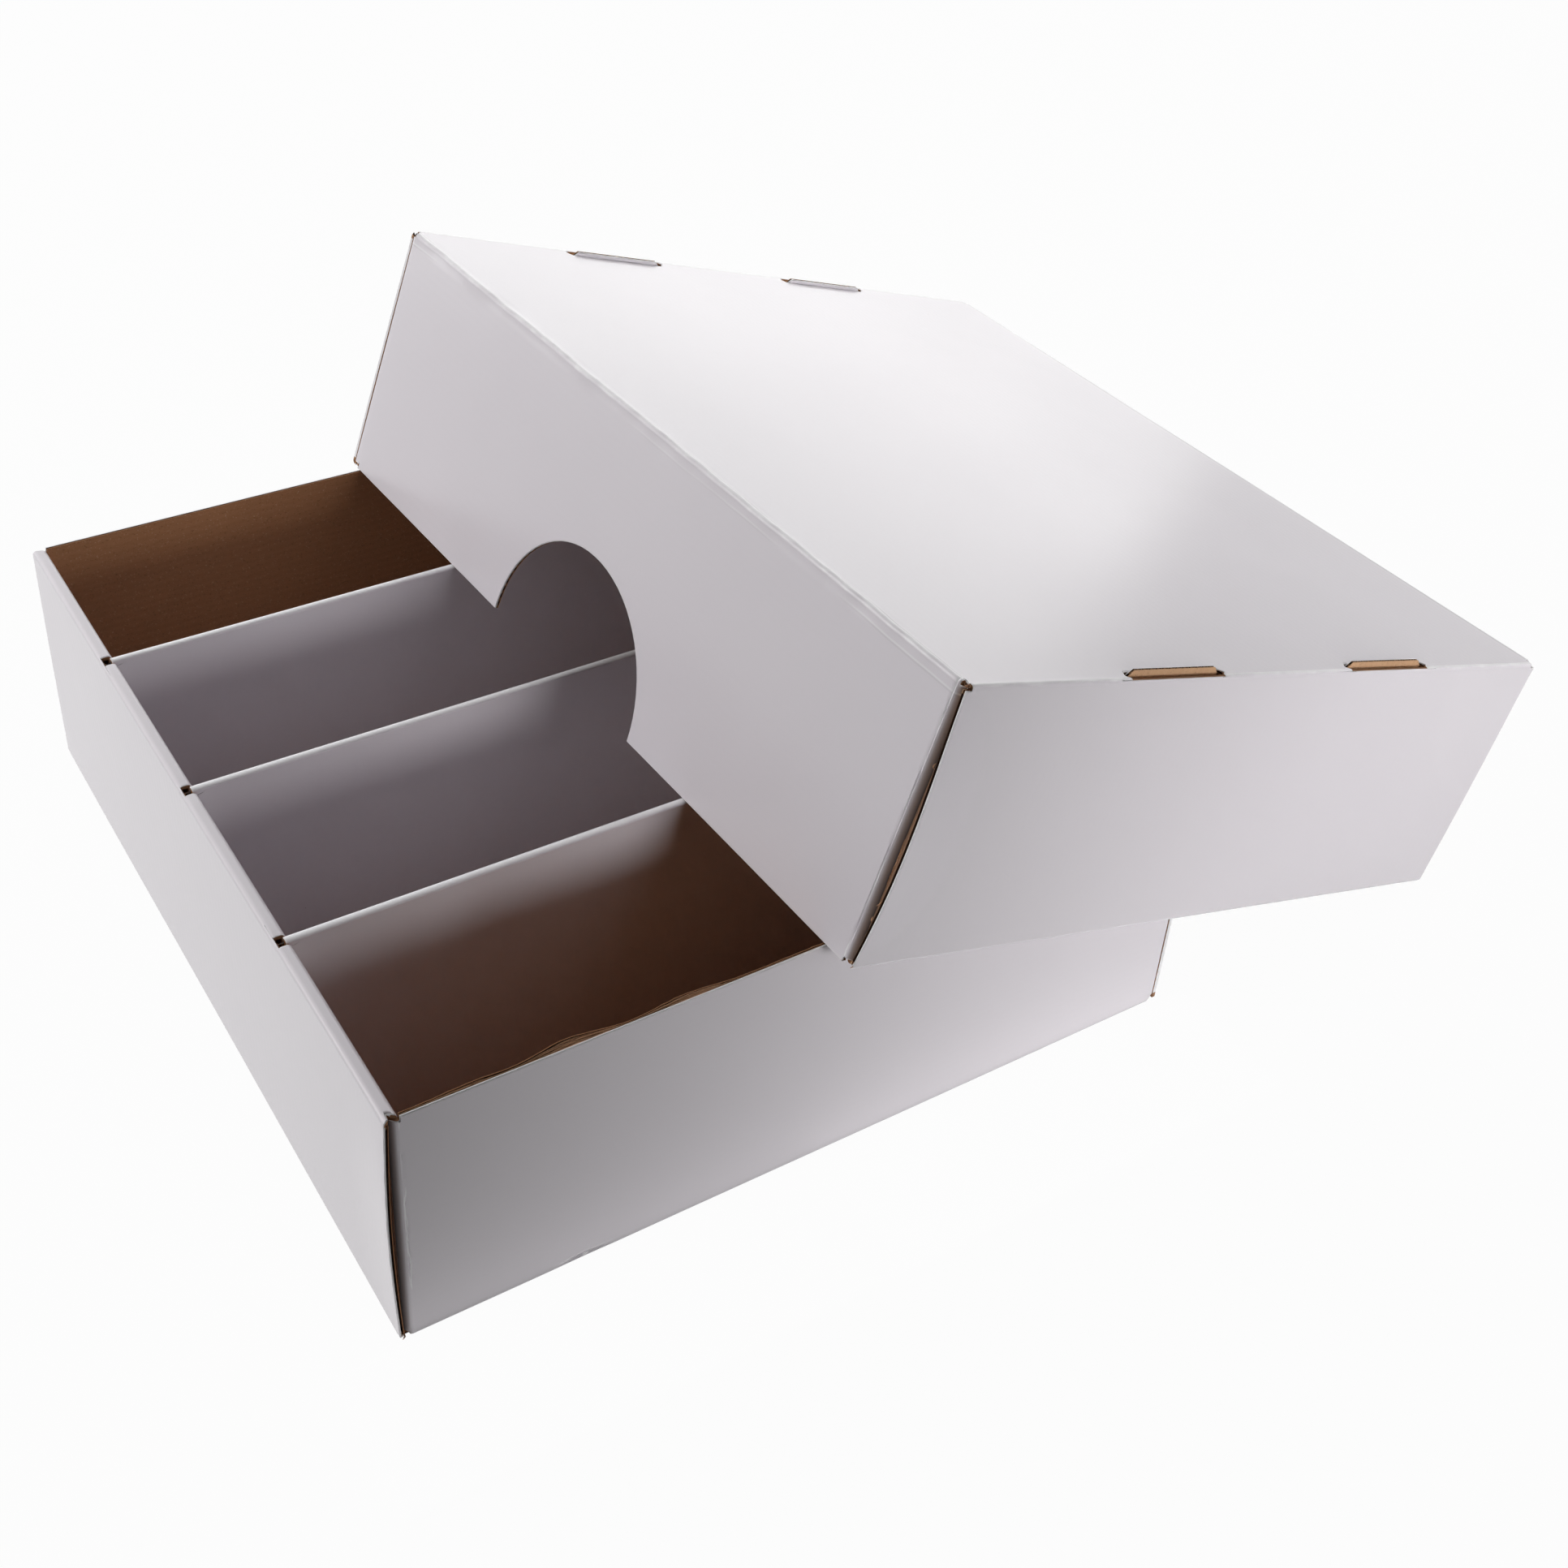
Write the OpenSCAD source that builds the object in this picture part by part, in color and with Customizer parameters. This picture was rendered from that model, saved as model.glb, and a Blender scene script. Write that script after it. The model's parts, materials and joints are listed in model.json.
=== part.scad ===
// Four-row storage box for trading cards, folded from white-faced corrugated board.
// The open base stands on its floor, three folded dividers stand in it, and the
// lift-off lid leans on it: one end on the rim of the base, the other on the table.
// X runs along the card rows, Y across them, and the origin is under the base's middle.

/* [Board] */
// Thickness of the corrugated board
board = 1.5; // [1:0.1:2]
// Inside radius of a crease
crease_in = 0.3; // [0.2:0.1:0.5]
// Gap between boards that lie face to face
ply_gap = 0.15; // [0.1:0.05:0.3]

/* [Base] */
// Length of the base along the card rows, over its rolled walls
base_l = 295; // [250:1:360]
// Width of the base across the card rows
base_w = 321; // [290:1:360]
// Height of the base, from its underside to its rim
base_h = 96; // [92:1:110]

/* [Corners] */
// How far a corner flap stops short of the first divider's slot
flap_gap = 8; // [4:1:30]
// How much a corner flap narrows at top and bottom towards its free end
flap_taper = 6; // [2:1:20]
// Length of the opening that is left at each corner of the floor
corner_relief = 2.2; // [2:0.1:4]

/* [Dividers] */
// How far down the wall the ears of a divider reach
ear_reach = 60; // [30:1:80]
// How far the ears start below the top of the divider
ear_drop = 3; // [2:0.5:8]
// Clearance on each side of a divider in its slot
slot_play = 0.8; // [0.3:0.1:1.5]
// Clearance at the ends of a divider
end_play = 0.3; // [0.2:0.1:1]

/* [Lock tabs] */
// Length of a lock tab along its wall
tab_l = 43; // [20:1:60]
// Distance of the tabs from the middle of their wall
tab_pitch = 57; // [40:1:80]
// Corner cut from each end of a tab
tab_chamfer = 2; // [0.5:0.1:2.5]
// Clearance at each end of a tab in its slot
tab_end = 1; // [0.5:0.1:2]
// Clearance between a tab and the far edge of its slot
tab_play = 0.4; // [0.2:0.1:1]
// Length of the pointed ends of a slot
slot_point = 1.6; // [0.5:0.1:2.5]
// Depth of the slot's near edge below the face that it is cut in
slot_lip = 0.5; // [0.3:0.1:0.9]
// How far the base's tabs end above its underside
tab_recess = 0.2; // [0.1:0.1:0.5]
// How far the lid's tabs stand out of its top panel
tab_proud = 1.3; // [0.5:0.1:2.5]

/* [Lid] */
// Play between the lid's single walls and the base
lid_play_l = 3.9; // [2:0.1:8]
// Play between the lid's rolled walls and the base
lid_play_w = 9.4; // [6:0.1:12]
// Spare depth of the lid over the height of the base
lid_head = 1.7; // [0.5:0.1:10]
// Radius of the half-round finger cut-outs in the lid's single walls
finger_r = 46; // [25:1:60]
// How far the cut-outs lie from the middle of their walls
finger_shift = 5; // [0:1:15]

/* [Resting place of the lid] */
// How far past the base's middle the raised end of the lid rests on the rim
lid_rest = 9; // [0:1:30]
// Clearance between the lid's rolled walls and the base's corners
lid_rub = 1.3; // [0.3:0.1:2]
// Gap between the lid's raised end and the rim that carries it
seat_gap = 0.1; // [0.05:0.05:0.3]

/* [Hidden] */
$fn = 96;
white = [0.93, 0.92, 0.94];
// Overshoot of a cut past the face that it opens
cut = 1;
// Folded board
fold_out = crease_in + board;
flap_face = board + ply_gap;
rolled_t = 3 * board + 2 * ply_gap;
inner_face = rolled_t - board;
// Three dividers make four equal rows
divider_count = 3;
divider_t = 2 * board + ply_gap;
row_w = (base_w - 2 * board - divider_count * divider_t) / (divider_count + 1);
row_pitch = row_w + divider_t;
divider_slot = divider_t + 2 * slot_play;
flap_l = board + row_w - slot_play - flap_gap;
// Lid
lid_span = base_w + lid_play_w + 2 * rolled_t;
lid_w = base_l + lid_play_l + 2 * board;
lid_h = base_h + board + lid_head;
// The lid slopes from the rim of the base down to the table
lid_slope = asin((base_h + seat_gap) / (lid_w - board));
// The lid is turned on the base until its rolled walls nearly meet the base's corners
rest_reach = base_l / 2 + lid_rest;
lid_turn = atan((lid_play_w - 2 * lid_rub) / rest_reach);
rest_y = (base_w / 2 + lid_rub) - (lid_span / 2 - rolled_t) / cos(lid_turn);

// Section of a crease: a quarter ring in the corner at the origin
module crease() {
    intersection() {
        translate([fold_out, fold_out])
            difference() {
                circle(fold_out);
                circle(crease_in);
            }
        square(fold_out);
    }
}

// Places a child at both ends of an axis
module both_ends(axis) {
    children();
    mirror(axis)
        children();
}

// Extrudes a section drawn in X and Z along Y, centred on the origin
module along_y(length) {
    translate([0, length / 2, 0])
        rotate([90, 0, 0])
            linear_extrude(length)
                children();
}

// Extrudes an outline drawn in Y and Z along X, from the origin
module along_x(length) {
    rotate([90, 0, 90])
        linear_extrude(length)
            children();
}

// Outer panel of a rolled wall, from the crease at the floor to the crease at the rim
module outer_panel(width, height) {
    along_y(width)
        translate([0, fold_out])
            square([board, height - 2 * fold_out]);
    along_y(width - 2 * corner_relief)
        crease();
}

// Rim strip that rolls over from the outer to the inner panel, mitred at both ends
module rim_strip(width, height) {
    difference() {
        along_y(width) {
            translate([0, height])
                mirror([0, 1])
                    crease();
            translate([fold_out, height - board])
                square([rolled_t - 2 * fold_out, board]);
            translate([rolled_t, height])
                rotate(180)
                    crease();
        }
        both_ends([0, 1, 0])
            translate([0, -width / 2, height - fold_out - cut])
                linear_extrude(fold_out + 2 * cut)
                    polygon([[0, 0], [0, -cut], [rolled_t + cut, -cut], [rolled_t + cut, flap_face],
                        [rolled_t, flap_face]]);
    }
}

// Lock tab at the lower edge of an inner panel, drawn in Y and Z, with its end at the height tip
module tab_outline(tip) {
    polygon([
        [-tab_l / 2, flap_face + tab_chamfer],
        [-tab_l / 2, tip + tab_chamfer],
        [-tab_l / 2 + tab_chamfer, tip],
        [tab_l / 2 - tab_chamfer, tip],
        [tab_l / 2, tip + tab_chamfer],
        [tab_l / 2, flap_face + tab_chamfer]
    ]);
}

// Inner panel, which hangs from the rim strip and ends in two tabs
module inner_panel(width, height, tip) {
    translate([inner_face, 0, 0])
        along_x(board) {
            translate([flap_face - width / 2, flap_face])
                square([width - 2 * flap_face, height - fold_out - flap_face]);
            for (side = [-1, 1])
                translate([side * tab_pitch, 0])
                    tab_outline(tip);
        }
}

// Opening for a lock tab, cut through the floor from the crease inwards
module tab_slot() {
    far = rolled_t + tab_play;
    half = tab_l / 2 + tab_end;
    linear_extrude(2 * (board + cut), center = true)
        polygon([[board, -half], [far / 2, -half - slot_point], [far, -half], [far, half],
            [far / 2, half + slot_point], [board, half]]);
    translate([-cut, -half, -cut])
        cube([board + 2 * cut, 2 * half, cut + slot_lip]);
}

// Single wall with raw rim, and the two corner flaps that fold into the rolled walls
module single_wall(span, height) {
    panel_x = span / 2 - flap_face - fold_out;
    rim_x = span / 2 - rolled_t - ply_gap;
    flap_top = height - flap_face;
    translate([0, board, 0])
        rotate([90, 0, 0])
            linear_extrude(board)
                polygon([[-panel_x, fold_out], [panel_x, fold_out], [panel_x, flap_top], [rim_x, flap_top],
                    [rim_x, height], [-rim_x, height], [-rim_x, flap_top], [-panel_x, flap_top]]);
    rotate([90, 0, 90])
        linear_extrude(2 * panel_x, center = true)
            crease();
    both_ends([1, 0, 0])
        translate([flap_face - span / 2, 0, 0]) {
            translate([0, 0, flap_face])
                linear_extrude(height - 2 * flap_face)
                    crease();
            along_x(board)
                polygon([[fold_out, flap_face], [flap_l, flap_face + flap_taper],
                    [flap_l, flap_top - flap_taper], [fold_out, flap_top]]);
        }
}

// Tray folded from one sheet: floor, two single walls at the Y ends and two rolled walls
// at the X ends, whose inner panels lock into slots in the floor with tabs that end at tab_tip
module folded_tray(span, width, height, tab_tip) {
    difference() {
        union() {
            translate([fold_out - span / 2, fold_out - width / 2, 0])
                cube([span - 2 * fold_out, width - 2 * fold_out, board]);
            both_ends([1, 0, 0])
                translate([-span / 2, 0, 0])
                    outer_panel(width, height);
        }
        both_ends([1, 0, 0])
            for (side = [-1, 1])
                translate([-span / 2, side * tab_pitch, 0])
                    tab_slot();
    }
    both_ends([1, 0, 0])
        translate([-span / 2, 0, 0]) {
            rim_strip(width, height);
            inner_panel(width, height, tab_tip);
        }
    both_ends([0, 1, 0])
        translate([0, -width / 2, 0])
            single_wall(span, height);
}

// Slot for a divider's ear: across the rim strip, then down the inner panel
module ear_slot() {
    translate([board / 2, -divider_slot / 2, base_h - board])
        cube([rolled_t, divider_slot, board + cut]);
    translate([board, -divider_slot / 2, base_h - ear_reach - end_play])
        cube([rolled_t, divider_slot, ear_reach]);
}

// Open base with slots for three dividers in both rolled walls
module base_tray() {
    color(white)
        difference() {
            folded_tray(base_l, base_w, base_h, tab_recess);
            both_ends([1, 0, 0])
                for (i = [0 : divider_count - 1])
                    translate([-base_l / 2, (i - (divider_count - 1) / 2) * row_pitch, 0])
                        ear_slot();
        }
}

// Section of a divider: one sheet folded double over its top
module divider_section() {
    top = base_h - divider_t / 2;
    for (side = [-1, 1])
        translate([side * (divider_t - board) / 2 - board / 2, board])
            square([board, top - board]);
    translate([0, top])
        intersection() {
            difference() {
                circle(divider_t / 2);
                circle(ply_gap / 2);
            }
            translate([-divider_t, 0])
                square([2 * divider_t, divider_t]);
        }
}

// Outline of a divider seen from the side: it stands on the floor between the inner panels,
// passes through their slots near the top and hooks behind them with its ears
module divider_outline() {
    foot = base_l / 2 - rolled_t - end_play;
    neck = base_l / 2 - inner_face - end_play;
    ear = base_l / 2 - board - end_play;
    polygon([
        [-foot, 0], [foot, 0],
        [foot, base_h - ear_reach], [ear, base_h - ear_reach],
        [ear, base_h - ear_drop], [neck, base_h - ear_drop],
        [neck, base_h + cut], [-neck, base_h + cut],
        [-neck, base_h - ear_drop], [-ear, base_h - ear_drop],
        [-ear, base_h - ear_reach], [-foot, base_h - ear_reach]
    ]);
}

// Divider that stands the given number of row pitches behind the middle of the base
module divider(place) {
    color(white)
        translate([0, place * row_pitch, 0])
            intersection() {
                rotate([90, 0, 90])
                    linear_extrude(base_l, center = true)
                        divider_section();
                along_y(2 * divider_t)
                    divider_outline();
            }
}

// Rearmost divider
module divider_rear() {
    divider(1);
}

// Divider in the middle of the base
module divider_middle() {
    divider(0);
}

// Divider nearest the front wall
module divider_front() {
    divider(-1);
}

// Lid in its own frame: top panel up at lid_h, single walls at the X ends
module lid_body() {
    difference() {
        translate([0, 0, lid_h])
            rotate([180, 0, 90])
                folded_tray(lid_span, lid_w, lid_h, -tab_proud);
        translate([0, finger_shift, 0])
            rotate([0, 90, 0])
                cylinder(r = finger_r, h = lid_w + 2 * cut, center = true);
    }
}

// Lid at rest: raised end on the rim of the base, lowered end on the table
module lid() {
    color(white)
        translate([0, rest_y, base_h + seat_gap])
            rotate([0, 0, lid_turn])
                translate([-lid_rest / cos(lid_turn), 0, 0])
                    rotate([0, lid_slope, 0])
                        translate([lid_w / 2 - board, 0, 0])
                            lid_body();
}

base_tray();
divider_rear();
divider_middle();
divider_front();
lid();
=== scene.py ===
"""Four-row storage box for trading cards: open base, three dividers, and the lid leaning on it.

Every piece is one sheet of E-flute corrugated board, coated white on one side and kraft brown
on the other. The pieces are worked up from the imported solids, from the base upwards.
"""
import json
import math
import random

import bmesh
import bpy
from mathutils import Matrix, Vector, noise
from mathutils.bvhtree import BVHTree

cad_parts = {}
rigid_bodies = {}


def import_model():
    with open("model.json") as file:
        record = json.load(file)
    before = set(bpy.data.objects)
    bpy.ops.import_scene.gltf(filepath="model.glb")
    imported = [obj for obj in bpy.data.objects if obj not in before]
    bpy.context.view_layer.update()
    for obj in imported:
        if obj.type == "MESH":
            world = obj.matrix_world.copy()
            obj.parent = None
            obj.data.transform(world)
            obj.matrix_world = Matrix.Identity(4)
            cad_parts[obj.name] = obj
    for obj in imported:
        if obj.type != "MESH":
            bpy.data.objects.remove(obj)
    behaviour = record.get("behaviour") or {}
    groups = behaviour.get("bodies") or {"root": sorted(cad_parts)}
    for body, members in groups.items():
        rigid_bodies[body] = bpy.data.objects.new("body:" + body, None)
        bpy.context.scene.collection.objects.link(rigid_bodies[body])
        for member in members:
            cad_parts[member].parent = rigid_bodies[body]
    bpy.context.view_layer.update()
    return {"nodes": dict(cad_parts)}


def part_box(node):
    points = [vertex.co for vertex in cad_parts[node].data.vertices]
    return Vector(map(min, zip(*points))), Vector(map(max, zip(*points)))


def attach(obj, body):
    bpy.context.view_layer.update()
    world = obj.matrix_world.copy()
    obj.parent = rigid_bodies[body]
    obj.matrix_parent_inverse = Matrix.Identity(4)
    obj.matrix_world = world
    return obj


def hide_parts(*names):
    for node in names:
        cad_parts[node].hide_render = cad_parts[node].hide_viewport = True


for spare in list(bpy.data.objects):
    bpy.data.objects.remove(spare)
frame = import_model()
scene = bpy.context.scene

# Camera
# It stands left of the box's front corner and looks down across the open rows to the lid.
# The shift only puts the object where the photograph's frame has it.
camera_data = bpy.data.cameras.new("camera")
camera_data.sensor_width = 36
camera_data.lens = 48.264
camera_data.shift_x = 0.0047
camera_data.shift_y = -0.0645
camera = bpy.data.objects.new("camera", camera_data)
camera.location = (-0.2852, -0.5332, 0.5362)
camera.rotation_euler = [math.radians(turn) for turn in (53.629, -3.259, -32.188)]
scene.collection.objects.link(camera)
scene.camera = camera
scene.view_settings.view_transform = "Standard"

# Base tray
# One die-cut sheet: the front and back walls fold up, their corner flaps fold in, and the two
# end walls roll over the flaps and lock into slots of the floor with tabs.
BOARD = 0.0015
PLY_GAP = 0.00015
LINER = 0.00024
FLUTE_PITCH = 0.0032
FLUTE_PAPER = 0.00018
GROOVE = 0.0009       # depth to which the cut edges are open between the liners
SLIT_DEPTH = 2.4 * GROOVE
LIP = 0.00032         # width of the coated liner's rounded edge
LIP_DROP = 0.0002
DRAG = 1.3            # how far the die drags the liner over a cut edge, in liners
SWITCH_OFF = 0.5      # added to a score line's place where its wear doesn't apply
# The last of these finishes is near-black paper: painted shade in the sunk cut edges and slits.
COATED, KRAFT, CUT, RIM_PAPER, HOLLOW_SHADE = range(5)


class Wire:
    """A node's socket. Arithmetic on it adds Math nodes, and add() adds any other node."""

    def __init__(self, tree, socket=None):
        self.tree, self.socket = tree, socket

    def add(self, kind, settings=None, inputs=None, output=0):
        node = self.tree.nodes.new(kind)
        for name, value in (settings or {}).items():
            if name == "stops":
                ramp = node.color_ramp.elements
                for stop, (place, colour) in zip((ramp[0], ramp[1]), value):
                    stop.position, stop.color = place, colour
            else:
                setattr(node, name, value)
        for name, value in (inputs or {}).items():
            if isinstance(value, Wire):
                self.tree.links.new(value.socket, node.inputs[name])
            else:
                node.inputs[name].default_value = value
        return Wire(self.tree, node.outputs[output])

    def math(self, operation, first, second=0.0):
        return self.add("ShaderNodeMath", {"operation": operation}, {0: first, 1: second})

    def __add__(self, other):
        return self.math("ADD", self, other)

    def __radd__(self, other):
        return self.math("ADD", other, self)

    def __sub__(self, other):
        return self.math("SUBTRACT", self, other)

    def __rsub__(self, other):
        return self.math("SUBTRACT", other, self)

    def __mul__(self, other):
        return self.math("MULTIPLY", self, other)

    def __rmul__(self, other):
        return self.math("MULTIPLY", other, self)

    def __lt__(self, other):
        return self.math("LESS_THAN", self, other)

    def __gt__(self, other):
        return self.math("GREATER_THAN", self, other)

    def sine(self):
        return self.math("SINE", self)

    def line(self, width):
        """1 where the value is 0, falling to 0 at width on either side"""
        away = self.math("ABSOLUTE", self) * (1 / width)
        settings = {"operation": "SUBTRACT", "use_clamp": True}
        return self.add("ShaderNodeMath", settings, {0: 1.0, 1: away})

    def noise(self, place, scale, detail=2.0):
        return self.add("ShaderNodeTexNoise", None, {"Vector": place, "Scale": scale, "Detail": detail})

    def blend(self, share, first, second):
        """Mix of two colours"""
        return self.add("ShaderNodeMix", {"data_type": "RGBA"}, {"Factor": share, 6: first, 7: second}, 2)


def paper(name, roughness):
    """New material, and the wires that its pattern starts from"""
    made = bpy.data.materials.new(name)
    made.use_nodes = True
    shader = made.node_tree.nodes["Principled BSDF"]
    shader.inputs["Roughness"].default_value = roughness
    start = Wire(made.node_tree)
    place = start.add("ShaderNodeTexCoord", output="Object")
    sheet = start.add("ShaderNodeUVMap", {"uv_map": "sheet"})
    across = start.add("ShaderNodeSeparateXYZ", inputs={0: sheet}, output="Y")
    washboard = (across * (2 * math.pi / FLUTE_PITCH)).sine()
    return made, shader, place, sheet, washboard


def coat(shader, height, **values):
    """Links a material's changing values, and the height of its relief in metres"""
    tree = height.tree
    relief = height.add("ShaderNodeBump", None, {"Strength": 1.0, "Distance": 1.0, "Height": height})
    tree.links.new(relief.socket, shader.inputs["Normal"])
    for name, wire in values.items():
        tree.links.new(wire.socket, shader.inputs[name.replace("_", " ")])


def coated_paper(name, pale, deep):
    """Clay-coated liner: smooth and glossy, with the flutes faintly showing through. The fold map
    gives the distance from the nearest score line. Along it the coating is worn white, which also
    paints a highlight there, and beside it run hairlines in painted grey shade and a painted glint.
    The upright crease at a tray's near corner has a dark band of painted shade, with a broken
    painted glint line beside it."""
    made, shader, place, sheet, washboard = paper(name, 0.2)
    fold = place.add("ShaderNodeUVMap", {"uv_map": "fold"})
    rolled = fold.add("ShaderNodeSeparateXYZ", inputs={0: fold}, output="X")
    folded = fold.add("ShaderNodeSeparateXYZ", inputs={0: fold}, output="Y")
    wobble = place.noise(place, 130, 4) - 0.5
    drift = place.noise(place, 22, 2) - 0.5
    # Whitened line along each score line: the coating's wear, and also a painted highlight on the crease's
    # ridge.
    worn_and_highlight = (folded + wobble * 0.0034).line(0.0012) + (rolled + wobble * 0.0012).line(0.0008)
    wrapped = place.add("ShaderNodeMath", {"operation": "WRAP"},
                        {0: folded, 1: SWITCH_OFF / 2, 2: -SWITCH_OFF / 2})
    along, across = [place.add("ShaderNodeSeparateXYZ", inputs={0: sheet}, output=axis) for axis in "XY"]
    on_wall = (wrapped > 0.0) * (along < 0.0) * (across < 0.0)
    broken = place.add("ShaderNodeMath", {"operation": "MULTIPLY", "use_clamp": True},
                       {0: place.noise(place, 9, 1) - 0.42, 1: 12.0})
    # Grey hairlines beside the score lines: painted shade of small pressed creases, which the relief also
    # dents a little.
    pressed_line_shade = (folded + 0.0018 + drift * 0.003).line(0.0004) * broken * 0.4
    pressed_line_shade = pressed_line_shade + (folded - 0.0048 + drift * 0.0028).line(0.0005) * broken * 0.16
    # A thin white line beside the score line: a painted glint.
    glint = (folded - 0.0042 + drift * 0.0028).line(0.0005) * broken * 0.5
    # Dark band on the upright crease at the near corner: painted shade in the crease, where the roughness
    # is raised too.
    painted_crease_shade = place.add("ShaderNodeMath", {"operation": "SUBTRACT", "use_clamp": True},
                      {0: 1.8, 1: rolled.math("ABSOLUTE", rolled + 0.0005) * 520.0}) * on_wall
    # Broken white line about 4.7 mm from that crease: a painted glint on its wrinkled edge.
    dashes = place.add("ShaderNodeMath", {"operation": "MULTIPLY", "use_clamp": True},
                       {0: place.noise(place, 55, 1) - 0.45, 1: 14.0})
    painted_corner_glint = (rolled + 0.0047 + wobble * 0.0022).line(0.00032) * on_wall * dashes
    cloud = place.noise(place, 14)
    mottle = place.noise(place, 900, 1)
    cells = {"Vector": place, "Scale": 38.0}
    speck = place.add("ShaderNodeTexVoronoi", None, cells) < 0.011
    chosen = place.add("ShaderNodeTexVoronoi", None, cells, "Color")
    speck = speck * (chosen.add("ShaderNodeSeparateColor", None, {0: chosen}) > 0.75)
    colour = place.blend(speck * 0.6, place.blend(cloud, pale, deep), (0.25, 0.22, 0.2, 1))
    colour = place.blend(pressed_line_shade, colour, (0.3, 0.28, 0.29, 1))
    colour = place.blend(painted_crease_shade * 0.93, colour, (0.05, 0.036, 0.032, 1))
    colour = place.blend(worn_and_highlight.math("MINIMUM", worn_and_highlight, 1.0) * (1 - painted_crease_shade) * 0.85, colour, (1.0, 0.99, 1.0, 1))
    colour = place.blend(glint.math("MAXIMUM", glint, painted_corner_glint), colour, (1.0, 1.0, 1.0, 1))
    height = washboard * 3.5e-6 + mottle * 9e-6 + place.noise(place, 160, 1) * 1.2e-5 - pressed_line_shade * 2.5e-5
    coat(shader, height, Base_Color=colour, Roughness=0.16 + cloud * 0.12 + painted_crease_shade * 0.6)
    return made


def kraft_paper(name, pale, deep):
    """Unbleached liner: matt brown, with fibres, specks and the glue lines of the flutes"""
    made, shader, place, sheet, washboard = paper(name, 0.8)
    shader.inputs["Specular IOR Level"].default_value = 0.15
    strands = place.add("ShaderNodeMapping", None, {"Vector": sheet, "Scale": (260.0, 1900.0, 1.0)})
    fibre = place.noise(strands, 1.0, 3)
    cloud = place.noise(place, 30, 3)
    fleck = place.noise(place, 1400, 1)
    colour = place.blend(fibre * 0.5 + cloud * 0.3 + washboard * 0.07 + 0.05, pale, deep)
    colour = place.blend((fleck > 0.69) * 0.45, colour, (0.16, 0.08, 0.04, 1))
    colour = place.blend((fleck < 0.3) * 0.3, colour, (0.75, 0.52, 0.34, 1))
    height = washboard * 1.2e-5 + fibre * 3e-5 + fleck * 1e-5
    coat(shader, height, Base_Color=colour, Roughness=0.72 + fibre * 0.2)
    return made


def cut_paper(name, pale, deep):
    """Cut or torn paper: rough, fuzzy and matt"""
    made, shader, place = paper(name, 0.9)[:3]
    shader.inputs["Specular IOR Level"].default_value = 0.15
    fuzz = place.noise(place, 1500, 3)
    coat(shader, fuzz * 1e-4, Base_Color=place.blend(fuzz, pale, deep), Roughness=0.8 + fuzz * 0.2)
    return made


board_papers = [
    coated_paper("coated_white", (0.795, 0.75, 0.792, 1), (0.82, 0.777, 0.818, 1)),
    kraft_paper("kraft_liner", (0.46, 0.225, 0.11, 1), (0.32, 0.145, 0.068, 1)),
    cut_paper("cut_kraft", (0.42, 0.235, 0.13, 1), (0.27, 0.14, 0.075, 1)),
    cut_paper("cut_white", (0.95, 0.93, 0.94, 1), (0.88, 0.86, 0.87, 1)),
    # Near-black paper for the sunk faces: painted shade of the hollows between the liners.
    cut_paper("flute_hollow_shade", (0.09, 0.045, 0.025, 1), (0.035, 0.017, 0.01, 1)),
]


def side_of(first):
    """Faces that run on from one face without a sharp turn"""
    reached, waiting = {first}, [first]
    while waiting:
        face = waiting.pop()
        for edge in face.edges:
            for near in edge.link_faces:
                if near not in reached and near.normal.angle(face.normal, 0) < math.radians(30):
                    reached.add(near)
                    waiting.append(near)
    return reached


def open_sheet(node, placement, outside):
    """Merged copy of a packed sheet in its own frame, with its coated, kraft and cut faces told apart.
    outside is a direction in which the coated side faces outwards."""
    sheet = bmesh.new()
    sheet.from_mesh(frame["nodes"][node].data)
    sheet.transform(placement.inverted())
    bmesh.ops.remove_doubles(sheet, verts=sheet.verts, dist=1e-6)
    bmesh.ops.triangulate(sheet, faces=sheet.faces)
    sheet.normal_update()
    sheet.faces.ensure_lookup_table()
    facing = [face for face in sheet.faces if face.normal.dot(outside) > 0.99]
    widest = max(face.calc_area() for face in facing)
    facing = [face for face in facing if face.calc_area() > widest / 3]
    front = max(facing, key=lambda face: face.calc_center_median().dot(outside))
    start = front.calc_center_median() - front.normal * 1e-5
    back = sheet.faces[BVHTree.FromBMesh(sheet).ray_cast(start, -front.normal)[2]]
    for face in sheet.faces:
        face.material_index = CUT
    for side, first in ((COATED, front), (KRAFT, back)):
        for face in side_of(first):
            face.material_index = side
    bmesh.ops.dissolve_limit(
        sheet, angle_limit=0.002, verts=sheet.verts, edges=sheet.edges, delimit={"MATERIAL"})
    return sheet


def slice_sheet(sheet, axis, places, within=None):
    """Cuts the faces along planes across an axis, so that the sheet can bend there"""
    across = Vector([float(axis == "xyz"[i]) for i in range(3)])
    for place in places:
        faces = [face for face in sheet.faces if within is None or within(face.calc_center_median())]
        parts = set(faces)
        for face in faces:
            parts.update(face.edges)
            parts.update(face.verts)
        bmesh.ops.bisect_plane(
            sheet, geom=list(parts), dist=1e-6, plane_co=across * place, plane_no=across)


def steps(low, high, step):
    """Evenly spaced places from low to high"""
    count = max(1, round((high - low) / step))
    return [low + (high - low) * i / count for i in range(count + 1)]


def remember_flat(sheet):
    """Keeps each point's place before the sheet is bent"""
    drawn = sheet.verts.layers.float_vector.new("drawn")
    for point in sheet.verts:
        point[drawn] = point.co


def bend(sheet, move):
    """Moves every point by what move says for its unbent place"""
    drawn = sheet.verts.layers.float_vector["drawn"]
    for point in sheet.verts:
        point.co += move(point[drawn])


def sway(place, reach, length, seed):
    """Slow random wander of a board that is never quite flat"""
    return noise.noise_vector(place / length + Vector((seed, 0, 0))) * reach


def ease(value, low, high):
    """0 below low, 1 above high, and smooth between them"""
    share = min(1.0, max(0.0, (value - low) / (high - low)))
    return share * share * (3 - 2 * share)


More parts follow.
